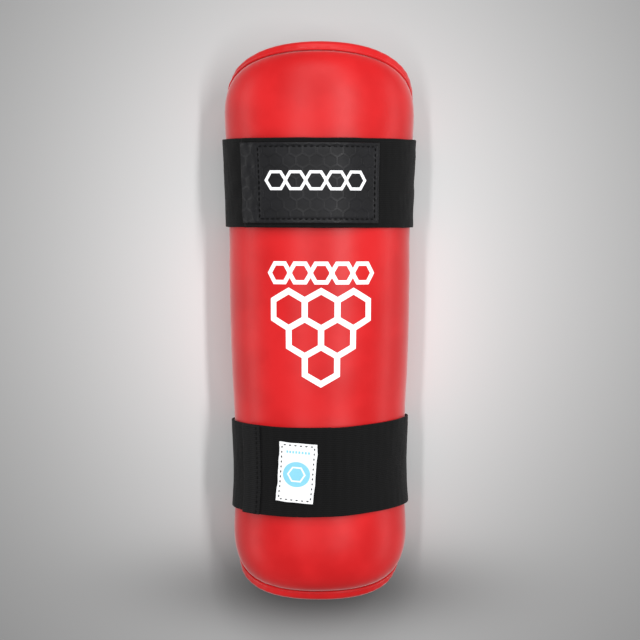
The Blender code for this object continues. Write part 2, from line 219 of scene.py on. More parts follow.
class Guard:
    """The padded pieces' surfaces, worked out from the form."""

    def __init__(self):
        self.form, self.strap = bpy.context.scene.guard_form, bpy.context.scene.guard_strap
        form = self.form
        self.half_pattern = form.wrap_angle * form.bend_radius
        self.pad_inset = form.binding_width + GAP
        self.binding_top = GAP + form.binding_thickness
        self.channel_middle = -form.panel_thickness / 2
        self.channel_radius = form.panel_thickness / 2 + GAP
        self.binding_radius = self.channel_radius + form.binding_thickness
        self.axis_height = self.strap.thickness + self.strap.clearance - self.cross_section(0.0)[:, 1].min()

    def wrap(self, s, y, lift):
        """Pattern points bent round the leg on an ellipse: x = (width + lift) sin a and
        z = (depth + lift) cos a, with a = s / bend radius."""
        form = self.form
        angle = s / form.bend_radius
        along = y / (form.length / 2)
        half_width = smooth_rows(along, SECTION_WIDTHS) * form.half_width
        front_depth = smooth_rows(along, SECTION_DEPTHS) * form.front_depth
        depth = np.where(np.cos(angle) > 0, front_depth, form.side_depth)
        x = (half_width + lift) * np.sin(angle)
        z = (depth + lift) * np.cos(angle)
        return np.stack([x, y + 0 * x, z], axis=-1)

    def place(self, s, y, lift):
        """Pattern points wrapped and set at the height at which the straps rest on the floor."""
        return self.wrap(s, y, lift) + [0.0, 0.0, self.axis_height]

    def right_side(self, inset):
        """The right half of the pattern's edge moved inwards, from the ankle end to the knee end: a
        straight side between two superellipse quarters."""
        form = self.form
        half_width = self.half_pattern - inset
        quarter_points = 2400
        quarter = np.linspace(0, math.pi / 2, quarter_points)
        knee = (form.knee_corner - inset) * np.sin(quarter) ** (2 / form.knee_roundness)
        knee_s = half_width * np.cos(quarter) ** (2 / form.knee_roundness)
        ankle = (form.ankle_corner - inset) * np.sin(quarter[::-1]) ** (2 / form.ankle_roundness)
        ankle_s = half_width * np.cos(quarter[::-1]) ** (2 / form.ankle_roundness)
        ankle_y = form.ankle_corner - form.length / 2 - ankle
        knee_y = form.length / 2 - form.knee_corner + knee
        return np.concatenate([ankle_s, knee_s]), np.concatenate([ankle_y, knee_y])

    def outline(self, inset, tilt=0.0, count=None):
        """The pattern's edge moved inwards. Its points are even along the outer edge, and those of
        every inset lie side by side."""
        s, y = self.right_side(0.0)
        run = np.concatenate([[0], np.cumsum(np.hypot(np.diff(s), np.diff(y)))])
        order = np.arange(len(run))
        half = (count or self.form.points_round) // 2
        place = np.interp(np.linspace(0, run[-1], half + 1), run, order)
        s, y = [np.interp(place, order, values) for values in self.right_side(inset)]
        s = np.concatenate([s, -s[-2:0:-1]])
        y = np.concatenate([y, y[-2:0:-1]])
        return self.turned(s, y, tilt)

    @staticmethod
    def turned(s, y, tilt):
        """Pattern points turned about the middle of the pattern."""
        return s * math.cos(tilt) - y * math.sin(tilt), s * math.sin(tilt) + y * math.cos(tilt)

    def ring(self, share, tilt=0.0, edge=None, count=None):
        """A ring of the pattern: share 0 is its edge, and share 1 the line down its middle."""
        form = self.form
        s, y = self.outline(self.pad_inset if edge is None else edge, 0.0, count)
        spine = np.clip(y, form.ankle_to_spine - form.length / 2, form.length / 2 - form.knee_to_spine)
        return self.turned(s * (1 - share), spine + (y - spine) * (1 - share), tilt)

    def strap_dents(self, s, y):
        """How deep the straps press into the pad: even under a strap, and eased off beyond its edges."""
        form, strap = self.form, self.strap
        dent = np.zeros_like(y)
        sideways = np.sin(s / form.bend_radius)
        lower = self.lower_y() + strap.lower_slant * sideways + strap.lower_bow * sideways**2
        for centre in (self.upper_y(), lower):
            off = np.abs(y - centre) - strap.width / 2
            dent += strap.dent * (1 - ease(0, strap.dent_edge, off))
        return dent

    def upper_y(self):
        """Place of the upper strap's middle along the guard."""
        return self.form.length / 2 - self.strap.knee_to_strap - self.strap.width / 2

    def lower_y(self):
        """Place of the lower strap's middle along the guard."""
        return self.strap.ankle_to_strap + self.strap.width / 2 - self.form.length / 2

    def pad_lift(self, s, y):
        """Height of the pad's outer face: edge + (thickness - edge - dent) * (1 - level^fullness)^slope,
        where level is 0 in the middle and 1 at the seam."""
        form = self.form
        s, y = self.turned(s, y, -form.pad_tilt)
        across = np.abs(s) / (self.half_pattern - self.pad_inset)
        knee = (y - (form.length / 2 - form.knee_corner)) / (form.knee_corner - self.pad_inset)
        ankle = (form.ankle_corner - form.length / 2 - y) / (form.ankle_corner - self.pad_inset)
        end = np.clip(np.maximum(knee, ankle), 0, None)
        roundness = np.where(y > 0, form.knee_roundness, form.ankle_roundness)
        level = np.clip((across**roundness + end**roundness) ** (1 / roundness), 0, 1)
        endwise = end**2 / np.maximum(end**2 + across**2, 1e-9)
        fullness = form.side_fullness + (form.end_fullness - form.side_fullness) * endwise
        slope = form.side_slope + (form.end_slope - form.side_slope) * endwise**2
        dome = (1 - level**fullness) ** slope
        return GAP + form.pad_edge + (form.pad_thickness - form.pad_edge - self.strap_dents(s, y)) * dome

    def cross_section(self, y):
        """Points round the outside of the guard at one place along it, as x and z."""
        edge = self.half_pattern - self.pad_inset
        s = np.linspace(-edge, edge, 1801)
        pad = self.wrap(s, np.full_like(s, y), self.pad_lift(s, y))
        bend = np.linspace(math.pi / 2, -math.pi / 2, 9)
        rim_s = self.half_pattern - self.binding_radius + self.binding_radius * np.cos(bend)
        lift = self.channel_middle + self.binding_radius * np.sin(bend)
        rim = [self.wrap(side * rim_s, np.full_like(rim_s, y), lift) for side in (-1, 1)]
        return np.concatenate([pad, *rim])[:, ::2]


class Band:
    """A strap as a taut band round the guard, worked out as a loop at each of its stations."""

    station_count, direction_count = 9, 2881

    def __init__(self, guard, centre, free_angle, slant=0.0, bow=0.0):
        self.strap, self.centre, self.slant, self.bow = guard.strap, centre, slant, bow
        self.guard_half_width = guard.form.half_width
        self.stations = np.linspace(-1, 1, self.station_count)
        self.loops = [self.loop(guard, centre + a * self.strap.width / 2, free_angle) for a in self.stations]
        self.middle_run, self.middle_pace, _ = self.loops[len(self.loops) // 2]
        self.whole = self.middle_run[-1]
        self.top_layer = self.strap.thickness + GAP + self.strap.hook_thickness + GAP

    def loop(self, guard, y, free_angle):
        """The band's inner line at one place along the guard: for each outward direction, the outside
        point that lies furthest that way. Its pace grows with the way travelled and with the turn."""
        turn = free_angle + np.linspace(0, math.tau, self.direction_count)
        facing = np.stack([np.sin(turn), np.cos(turn)], axis=1)
        outside = guard.cross_section(y) + [0.0, guard.axis_height]
        line = outside[np.argmax(facing @ outside.T, axis=1)] + self.strap.clearance * facing
        run = np.concatenate([[0], np.cumsum(np.linalg.norm(np.diff(line, axis=0), axis=1))])
        return run, run + guard.form.bend_radius * (turn - turn[0]), np.hstack([line, facing])

    def points(self, run, across, lift):
        """Points at a run along the strap, a place across it, counted from its middle towards its
        knee edge, and a lift off its inner line. They are drawn evenly between the nearest loops."""
        run, across, lift = np.broadcast_arrays(run, across / (self.strap.width / 2), lift)
        pace = np.interp(run % self.whole, self.middle_run, self.middle_pace) / self.middle_pace[-1]
        lines = []
        for _, station_pace, columns in self.loops:
            parts = [np.interp(pace * station_pace[-1], station_pace, column) for column in columns.T]
            lines.append(np.stack(parts, axis=-1))
        lines = np.array(lines)
        last = len(self.stations) - 1
        at = np.clip((across + 1) / 2 * last, 0, last)
        low = np.clip(np.floor(at).astype(int), 0, last - 1)
        share = (at - low)[..., None]
        grid = np.indices(run.shape)
        found = lines[(low, *grid)] * (1 - share) + lines[(low + 1, *grid)] * share
        x = found[..., 0] + lift * found[..., 2]
        z = found[..., 1] + lift * found[..., 3]
        sideways = x / self.guard_half_width
        y = self.centre + across * self.strap.width / 2 + self.slant * sideways + self.bow * sideways**2
        return np.stack([x, y, np.maximum(z, 0.0)], axis=-1)

    def layer(self, run):
        """Lift of the strap along its run: its free end lies over its other end, then ramps down."""
        return self.top_layer * (1 - ease(self.strap.overlap, self.strap.overlap + self.strap.ramp, run))


def strap_bands(guard):
    """Both straps as bands: the upper one and the lower one."""
    strap = guard.strap
    upper = Band(guard, guard.upper_y(), strap.upper_free_angle)
    lower = Band(guard, guard.lower_y(), strap.lower_free_angle, strap.lower_slant, strap.lower_bow)
    return upper, lower


def grid_faces(rows, columns, wraps):
    """Quads of a grid, as indices of its points and of its UV grid, whose last column is one more
    where the grid wraps round."""
    last = columns if wraps else columns - 1
    row, column = np.meshgrid(np.arange(rows - 1), np.arange(last), indexing="ij")
    following = (column + 1) % columns
    points = np.stack(
        [row * columns + column, row * columns + following,
         (row + 1) * columns + following, (row + 1) * columns + column], axis=-1
    )
    wide = columns + 1 if wraps else columns
    uvs = np.stack(
        [row * wide + column, row * wide + column + 1,
         (row + 1) * wide + column + 1, (row + 1) * wide + column], axis=-1
    )
    return points.reshape(-1, 4), uvs.reshape(-1, 4)


def add_object(name, data):
    """A new object of the scene, at the origin."""
    thing = bpy.data.objects.new(name, data)
    bpy.context.scene.collection.objects.link(thing)
    return thing


def weld(mesh, distance, turn_outwards=False):
    """Joins a mesh's doubled points, and may turn its faces outwards."""
    build = bmesh.new()
    build.from_mesh(mesh)
    bmesh.ops.remove_doubles(build, verts=build.verts, dist=distance)
    if turn_outwards:
        bmesh.ops.recalc_face_normals(build, faces=build.faces)
    build.to_mesh(mesh)
    build.free()


def ring_object(name, points, uv, capped=False):
    """An object from rings of points, with a UV map in metres whose first column is repeated to close
    a ring. Capped, it has one face at each end. Otherwise its doubled points are joined."""
    rows, columns = points.shape[:2]
    if uv.shape[1] == columns:
        uv = np.concatenate([uv, uv[:, :1]], axis=1)
    faces, uv_faces = grid_faces(rows, columns, True)
    corners = faces.ravel()
    sizes = np.full(len(faces), 4)
    corner_uv = uv.reshape(-1, 2)[uv_faces.ravel()]
    if capped:
        first, final = np.arange(columns)[::-1], (rows - 1) * columns + np.arange(columns)
        corners = np.concatenate([corners, first, final])
        sizes = np.concatenate([sizes, [columns, columns]])
        corner_uv = np.concatenate([corner_uv, uv[0, first], uv[-1, :columns]])
    mesh = bpy.data.meshes.new(name)
    mesh.vertices.add(rows * columns)
    mesh.vertices.foreach_set("co", points.astype(np.float32).ravel())
    mesh.loops.add(len(corners))
    mesh.loops.foreach_set("vertex_index", corners.astype(np.int32))
    mesh.polygons.add(len(sizes))
    starts = np.concatenate([[0], np.cumsum(sizes)[:-1]])
    mesh.polygons.foreach_set("loop_start", starts.astype(np.int32))
    mesh.update(calc_edges=True)
    layer = mesh.uv_layers.new(name="UVMap")
    layer.data.foreach_set("uv", corner_uv.astype(np.float32).ravel())
    if not capped:
        weld(mesh, 1e-6)
    mesh.validate()
    mesh.shade_smooth()
    return add_object(name, mesh)


def strip_places(run, across):
    """Places on a flat strip: the run along it and the place across it."""
    return np.stack(np.broadcast_arrays(run, across), axis=-1)


def rounded_section(width, thickness, radius, across_count=33, corner_count=5):
    """A closed section of a strip, from its ankle edge over its top and back along its underside: a
    rectangle whose corners are quarter circles. Gives the place across and the height."""
    corner = np.linspace(0, math.pi / 2, corner_count)
    half = width / 2
    flat = np.linspace(-half + radius, half - radius, across_count)
    right = np.stack([half - radius + radius * np.sin(corner), thickness - radius + radius * np.cos(corner)])
    right_low = np.stack([half - radius + radius * np.cos(corner), radius - radius * np.sin(corner)])
    top = np.stack([flat, np.full_like(flat, thickness)])
    low = np.stack([flat[::-1], np.zeros_like(flat)])
    left_low = right_low[:, ::-1] * [[-1], [1]]
    left = right[:, ::-1] * [[-1], [1]]
    parts = [top[:, :-1], right[:, :-1], right_low[:, :-1], low[:, :-1], left_low[:, :-1], left[:, :-1]]
    return np.concatenate(parts, axis=1)


def thread_object(name, lines, ups, radius):
    """Stitches: each row of lines is one stitch's middle line. Its section is a circle that shrinks to
    a point at both ends: radius * sin(way along it)^0.45."""
    sides = 7
    count, steps = lines.shape[:2]
    tangent = np.gradient(lines, axis=1)
    tangent /= np.linalg.norm(tangent, axis=-1, keepdims=True)
    side = np.cross(tangent, ups)
    side /= np.linalg.norm(side, axis=-1, keepdims=True)
    swell = np.sin(np.linspace(0.0, math.pi, steps)) ** 0.45
    around = np.linspace(0, math.tau, sides, endpoint=False)
    level, upright = np.cos(around)[:, None], np.sin(around)[:, None]
    ring = side[:, :, None] * level + ups[:, :, None] * upright
    points = lines[:, :, None] + ring * (radius * swell)[None, :, None, None]
    faces, _ = grid_faces(steps, sides, True)
    faces = (faces[None] + np.arange(count)[:, None, None] * steps * sides).reshape(-1, 4)
    mesh = bpy.data.meshes.new(name)
    mesh.from_pydata(points.reshape(-1, 3), [], faces[:, ::-1].tolist())
    weld(mesh, 1e-7, turn_outwards=True)
    mesh.shade_smooth()
    return add_object(name, mesh)


class Wire:
    """A shader socket that adds Math nodes when it is used in an expression."""

    def __init__(self, finish, socket):
        self.finish, self.socket = finish, socket

    def maths(self, operation, *values):
        """A Math node on this value and others."""
        return self.finish.maths(operation, self, *values)

    def __add__(self, other):
        return self.maths("ADD", other)

    def __sub__(self, other):
        return self.maths("SUBTRACT", other)

    def __rsub__(self, other):
        return self.finish.maths("SUBTRACT", other, self)

    def __mul__(self, other):
        return self.maths("MULTIPLY", other)

    def __truediv__(self, other):
        return self.maths("DIVIDE", other)

    def __rtruediv__(self, other):
        return self.finish.maths("DIVIDE", other, self)

    def __pow__(self, other):
        return self.maths("POWER", other)

    def __abs__(self):
        return self.maths("ABSOLUTE")

    __radd__, __rmul__ = __add__, __mul__

    def below(self, other):
        """The smaller of two values."""
        return self.maths("MINIMUM", other)

    def above(self, other):
        """The larger of two values."""
        return self.maths("MAXIMUM", other)

    def sine(self):
        """The sine of an angle in radians."""
        return self.maths("SINE")

    def whole(self):
        """The value rounded down."""
        return self.maths("FLOOR")

    def part(self):
        """What is left over a whole number."""
        return self.maths("FRACT")

    def ease(self, low, high):
        """0 at low and 1 at high, smooth between them."""
        return self.finish.node(
            "ShaderNodeMapRange",
            {"interpolation_type": "SMOOTHSTEP"},
            {"Value": self, "From Min": low, "From Max": high, "To Min": 0.0, "To Max": 1.0},
        )


class Finish:
    """A material on one Principled shader, built from expressions."""

    def __init__(self, name):
        self.material = bpy.data.materials.new(name)
        self.material.use_nodes = True
        self.tree = self.material.node_tree
        self.tree.nodes.clear()
        self.surface = self.tree.nodes.new("ShaderNodeBsdfPrincipled")
        output = self.tree.nodes.new("ShaderNodeOutputMaterial")
        self.tree.links.new(self.surface.outputs["BSDF"], output.inputs["Surface"])

    def fill(self, socket, value):
        """Links a wire to a socket, or sets the socket to a number or colour."""
        if isinstance(value, Wire):
            self.tree.links.new(value.socket, socket)
        elif hasattr(value, "__len__") and len(value) == 3 and socket.type == "RGBA":
            socket.default_value = (*value, 1.0)
        else:
            socket.default_value = value

    def node(self, kind, choices, sockets, output=0):
        """A node of any kind: its settings first, then the values or links of its sockets."""
        made = self.tree.nodes.new(kind)
        for name, value in choices.items():
            setattr(made, name, value)
        for name, value in sockets.items():
            self.fill(made.inputs[name], value)
        return Wire(self, made.outputs[output])

    def maths(self, operation, *values):
        """A Math node on wires and plain numbers."""
        return self.node("ShaderNodeMath", {"operation": operation}, dict(enumerate(values)))

    def set(self, **sockets):
        """Sets or links the shader's own sockets, named with _ for a space."""
        for name, value in sockets.items():
            self.fill(self.surface.inputs[name.replace("_", " ")], value)

    def place(self):
        """The point on the piece, in metres."""
        return self.node("ShaderNodeTexCoord", {}, {}, "Object")

    def pattern(self):
        """The piece's own UV map, in metres, as two values."""
        uv = self.node("ShaderNodeUVMap", {"uv_map": "UVMap"}, {})
        return self.split(uv)

    def split(self, vector):
        """The first two parts of a vector."""
        parts = self.tree.nodes.new("ShaderNodeSeparateXYZ")
        self.fill(parts.inputs[0], vector)
        return Wire(self, parts.outputs[0]), Wire(self, parts.outputs[1])

    def vector(self, x, y, z=0.0):
        """A vector from three values."""
        return self.node("ShaderNodeCombineXYZ", {}, {0: x, 1: y, 2: z})

    def noise(self, at, size, detail=2.0):
        """Noise from 0 to 1 whose lumps are about the given size."""
        return self.node("ShaderNodeTexNoise", {}, {"Vector": at, "Scale": 1 / size, "Detail": detail})

    def cells(self, at, size):
        """Smoothed distance to the nearest point of a scattered set, in shares of the given size."""
        sockets = {"Vector": at, "Scale": 1 / size}
        return self.node("ShaderNodeTexVoronoi", {"feature": "SMOOTH_F1"}, sockets, "Distance")

    def mix(self, share, low, high):
        """A colour between two others."""
        made = self.tree.nodes.new("ShaderNodeMix")
        made.data_type = "RGBA"
        self.fill(made.inputs["Factor"], share)
        self.fill(made.inputs[6], low)
        self.fill(made.inputs[7], high)
        return Wire(self, made.outputs[2])

    def relief(self, height, depth, strength=1.0):
        """Bumps of the given depth in metres, from a height of 0 to 1."""
        normal = self.node("ShaderNodeBump", {}, {"Height": height, "Distance": depth, "Strength": strength})
        self.set(Normal=normal)

    def give(self, *things):
        """Puts this finish on pieces."""
        for thing in things:
            thing.data.materials.clear()
            thing.data.materials.append(self.material)


def hexagon(u, v, centre, radius):
    """How far a point lies outside a hexagon with a corner to the right; below 0 it is inside."""
    across = abs(u - centre[0])
    up = abs(v - centre[1])
    slanted = across * math.cos(math.pi / 6) + up * math.sin(math.pi / 6)
    return slanted.above(up) - radius * math.cos(math.pi / 6)


def honeycomb_lines(u, v, centres, radius, line):
    """1 on the outlines of hexagons round the given centres and 0 beside them."""
    nearest = None
    for centre in centres:
        off = abs(hexagon(u, v, centre, radius))
        nearest = off if nearest is None else nearest.below(off)
    blur = 0.00006
    return 1 - nearest.ease(line / 2 - blur, line / 2 + blur)


def bell(x, y, middle, size):
    """1 at the middle and falling off round it: exp(-(x / width)^2 - (y / length)^2)."""
    across, along = (x - middle[0]) / size[0], (y - middle[1]) / size[1]
    return (across * across + along * along).maths("MULTIPLY", -1).maths("EXPONENT")


def leather_grain(finish, at):
    """Fine pebbled grain of a smooth synthetic leather: cells of 0.7 mm, softened by noise."""
    grain = finish.cells(at, 0.0007)
    pores = finish.noise(at, 0.0004, 3.0)
    return grain * 0.6 + pores * 0.4


def red_leather(name, colour, roughness, print_mask=None):
    """Smooth semi-matte synthetic leather, with fine grain, faint handling marks and uneven gloss."""
    finish = Finish(name)
    at = finish.place()
    cloudy = finish.noise(at, 0.035, 3.0)
    darker = tuple(part * 0.90 for part in colour)
    brighter = tuple(min(part * 1.05 + 0.004, 1.0) for part in colour)
    tone = finish.mix(cloudy.ease(0.35, 0.65), darker, brighter)
    gloss = roughness + (finish.noise(at, 0.012, 4.0) - 0.5) * 0.10
    height = leather_grain(finish, at)
    if print_mask is not None:
        mask = print_mask(finish)
        white = tuple(bpy.context.scene.guard_colours.white)
        tone = finish.mix(mask, tone, white)
        gloss = gloss + mask * 0.08
        height = height * (1 - mask * 0.7) + mask * 0.8
    finish.set(Base_Color=tone, Roughness=gloss, Specular_IOR_Level=0.28)
    finish.set(Sheen_Weight=0.60, Sheen_Roughness=0.30)
    finish.relief(height, 0.00005, 0.6)
    return finish


def pad_print(finish):
    """White outlines on the middle of the pad: a row of five hexagons above a honeycomb of six that
    narrows downwards. The pattern is stretched across where it bends over the foam."""
    u, v = finish.pattern()
    stretch, shift = 1.27, 0.0008
    u = u * stretch - shift
    radius, middle = 0.0104, -0.0077
    wide, tall = radius * math.sqrt(3), radius * 1.5
    places = ((-1, 1), (0, 1), (1, 1), (-0.5, 0), (0.5, 0), (0, -1))
    comb = [(middle + y * tall, x * wide) for x, y in places]
    comb_lines = honeycomb_lines(v, u, comb, radius, 0.0034)
    row_pitch, row_height = 0.01165, 0.0284
    row = [(step * row_pitch, row_height) for step in range(-2, 3)]
    return comb_lines.above(honeycomb_lines(u, v, row, 0.0060, 0.0024))


def elastic_cloth(name, colour):
    """Woven elastic: ribs along the strap every 1.1 mm, crossed by finer weft, with pale lint."""
    finish = Finish(name)
    u, v = finish.pattern()
    wobble = finish.noise(finish.vector(u, v), 0.012) - 0.5
    ribs = ((v + wobble * 0.0003) * (math.tau / 0.0011)).sine() * 0.5 + 0.5
    weft = ((u + wobble * 0.0004) * (math.tau / 0.0007) + (v / 0.0011).whole() * math.pi).sine() * 0.5 + 0.5
    bands = ((u + wobble * 0.0015) * (math.tau / 0.0052)).sine() * 0.5 + 0.5
    fibre = finish.noise(finish.vector(u * 0.3, v), 0.0003, 3.0)
    height = ribs * 0.45 + weft * 0.30 + fibre * 0.25
    tone = finish.mix(
        (ribs * 0.5 + weft * 0.2 + bands * 0.15 + fibre * 0.3).ease(0.25, 1.0),
        tuple(part * 0.6 for part in colour),
        tuple(part * 1.9 for part in colour),
    )
    finish.set(Base_Color=tone, Roughness=0.80, Specular_IOR_Level=0.13)
    finish.set(Sheen_Weight=0.03, Sheen_Roughness=0.5)
    finish.relief(height, 0.00025, 0.7)
    return finish


def settle(thing, node=None):
    """Lets a piece ride on the guard, and may let it stand for a solid by hiding that solid."""
    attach(thing, "root")
    if node:
        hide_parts(node)


class GuardOperator:
    """What the operators for pieces share."""

    bl_options = {"REGISTER", "UNDO"}

    def execute(self, context):
        """Builds the pieces."""
        self.build(context)
        return {"FINISHED"}


class Cover:
    """The pad's cover as simulated cloth: how far it swells off the foam over the pad's pattern."""

    rows, columns, steps, smoothings = 151, 61, 20, 3

    def __init__(self, guard):
        self.guard, form = guard, guard.form
        self.low = guard.pad_inset - form.length / 2 + MM
        self.high = form.length / 2 - guard.pad_inset - MM
        y = np.linspace(self.low, self.high, self.rows)[:, None]
        share = np.linspace(-1, 1, self.columns)[None, :]
        self.swell = np.zeros((self.rows, self.columns))
        s, y = np.broadcast_arrays(share * self.seam(y), y)
        self.simulate(*guard.turned(s, y, form.pad_tilt), np.abs(share) + 0 * y)

    def seam(self, y):
        """Half the pad's width at a place along it, from the superellipse of the end that it is in."""
        guard, form = self.guard, self.guard.form
        knee = (y - (form.length / 2 - form.knee_corner)) / (form.knee_corner - guard.pad_inset)
        ankle = (form.ankle_corner - form.length / 2 - y) / (form.ankle_corner - guard.pad_inset)
        end = np.clip(np.maximum(knee, ankle), 0, 0.9999)
        roundness = np.where(y > 0, form.knee_roundness, form.ankle_roundness)
        return (guard.half_pattern - guard.pad_inset) * (1 - end**roundness) ** (1 / roundness)

    def simulate(self, s, y, share):
        """Blows the cover up as cloth that is held along its seam and under the straps, and keeps its
        outward travel, capped as cap * tanh(travel / cap) and smoothed with its neighbours."""
        guard, form = self.guard, self.guard.form
        lift = guard.pad_lift(s, y)
        start = guard.place(s, y, lift)
        outward = (guard.place(s, y, lift + MM) - start) / MM
        faces, _ = grid_faces(self.rows, self.columns, False)
        mesh = bpy.data.meshes.new("cover_cloth")
        mesh.from_pydata(start.reshape(-1, 3), [], faces[:, ::-1])
        cloth = add_object("cover_cloth", mesh)
        held = guard.strap_dents(s, y) / guard.strap.dent > 0.98
        held |= (share > 0.999) | (np.arange(self.rows) % (self.rows - 1) == 0)[:, None]
        group = cloth.vertex_groups.new(name="held")
        group.add(np.flatnonzero(held).tolist(), 1.0, "REPLACE")
        modifier = cloth.modifiers.new("cloth", "CLOTH")
        options = modifier.settings
        options.quality = 6
        options.mass = 0.25
        options.tension_stiffness = options.compression_stiffness = 18
        options.shear_stiffness = 8
        options.bending_stiffness = 8
        options.use_pressure = True
        options.uniform_pressure_force = 4
        options.vertex_group_mass = "held"
        options.effector_weights.gravity = 0
        modifier.point_cache.frame_start, modifier.point_cache.frame_end = 1, self.steps
        for step in range(1, self.steps + 1):
            bpy.context.scene.frame_set(step)
        result = cloth.evaluated_get(bpy.context.evaluated_depsgraph_get()).to_mesh()
        end = np.empty(start.size)
        result.vertices.foreach_get("co", end)
        travel = ((end.reshape(start.shape) - start) * outward).sum(axis=-1)
        bpy.data.objects.remove(cloth)
        bpy.context.scene.frame_set(1)
        travel = form.swell * np.tanh(travel / form.swell)
        for _ in range(self.smoothings):
            around = np.pad(travel, 1, mode="edge")
            beside = around[:-2, 1:-1] + around[2:, 1:-1] + around[1:-1, :-2] + around[1:-1, 2:]
            travel = (4 * travel + beside) / 8
        self.swell = np.where(held, 0, travel)

    def at(self, s, y):
        """The swell at points of the pattern, drawn evenly between the grid's four nearest."""
        s, y = self.guard.turned(s, y, -self.guard.form.pad_tilt)
        row = np.clip((y - self.low) / (self.high - self.low), 0, 1) * (self.rows - 1)
        column = (np.clip(s / self.seam(y), -1, 1) + 1) / 2 * (self.columns - 1)
        i = np.minimum(row.astype(int), self.rows - 2)
        j = np.minimum(column.astype(int), self.columns - 2)
        up, right = row - i, column - j
        low = self.swell[i, j] * (1 - right) + self.swell[i, j + 1] * right
        high = self.swell[i + 1, j] * (1 - right) + self.swell[i + 1, j + 1] * right
        return low * (1 - up) + high * up


class GUARD_OT_pad(GuardOperator, bpy.types.Operator):
    """Foam pad under its red leather cover"""

    bl_idname = "guard.pad"
    bl_label = "Pad"

    def build(self, context):
        """Rings of the pattern from the seam to the middle, lifted into a dome, swollen as the cloth
        simulation says, and puckered at the seam: pucker * exp(-distance / 4 mm) * waves along it."""
        guard = Guard()
        form = guard.form
        rings, under_rings = 78, 6
        grid = [guard.ring(share, form.pad_tilt) for share in np.linspace(0, 1, rings) ** 1.35]
        s, y = np.array(grid).transpose(1, 0, 2)
        lift = guard.pad_lift(s, y)
        points = guard.place(s, y, lift)
        seam = np.hypot(np.diff(s[0], append=s[0, 0]), np.diff(y[0], append=y[0, 0]))
        run = np.cumsum(seam)[None, :]
        off = np.hypot(s - s[0], y - y[0])
        depth, pitch, reach, seam_reach = 0.00022, 0.0065, 0.004, 0.0008
        waves = np.sin(run * math.tau / pitch + 2.2 * soft_noise(points[0], 0.03, 3)[None, :])
        pucker = depth * np.exp(-off / reach) * (1 - np.exp(-off / seam_reach)) * (0.6 + 0.4 * waves)
        uneven = 0.00010 * soft_noise(points, 0.050, 5) + 0.00002 * soft_noise(points, 0.016, 6)
        uneven *= 1 - np.exp(-off / 0.010)
        top = guard.place(s, y, lift + Cover(guard).at(s, y) - pucker + uneven)
        under = [guard.ring(share, form.pad_tilt) for share in np.linspace(1, 0, under_rings)]
        under_s, under_y = np.array(under).transpose(1, 0, 2)
        low = guard.place(under_s, under_y, np.full_like(under_s, GAP))
        uv = np.concatenate([np.stack([under_s, under_y], -1), np.stack([s, y], -1)])
        thing = ring_object("pad_cover", np.concatenate([low, top]), uv)
        red_leather("pad_leather", tuple(context.scene.guard_colours.red), 0.40, pad_print).give(thing)
        settle(thing, "front_pad")


class GUARD_OT_panel(GuardOperator, bpy.types.Operator):
    """Back panel that lies against the leg"""

    bl_idname = "guard.panel"
    bl_label = "Back panel"

    def build(self, context):
        """Rings of the pattern, at the panel's outer face and back along its inner face, which is
        slightly uneven away from its sides."""
        guard = Guard()
        form = guard.form
        outer_rings, inner_rings, around = 8, 44, 480
        shares = np.concatenate([np.linspace(1, 0, outer_rings), np.linspace(0, 1, inner_rings) ** 1.2])
        rings = [guard.ring(share, 0, guard.binding_radius, around) for share in shares]
        s, y = np.array(rings).transpose(1, 0, 2)
        lift = np.zeros_like(s)
        inner = slice(outer_rings, None)
        unevenness, lump = 0.00015, 0.03
        soft = unevenness * soft_noise(guard.place(s, y, lift)[inner], lump, 11)
        from_side = s[outer_rings] ** 2 - s[inner] ** 2
        lift[inner] = -form.panel_thickness + soft * (1 - np.exp(-from_side / 1e-4))
        thing = ring_object("panel_lining", guard.place(s, y, lift), np.stack([s, y], -1))
        red_leather("lining_leather", tuple(context.scene.guard_colours.lining), 0.55).give(thing)
        settle(thing, "back_panel")


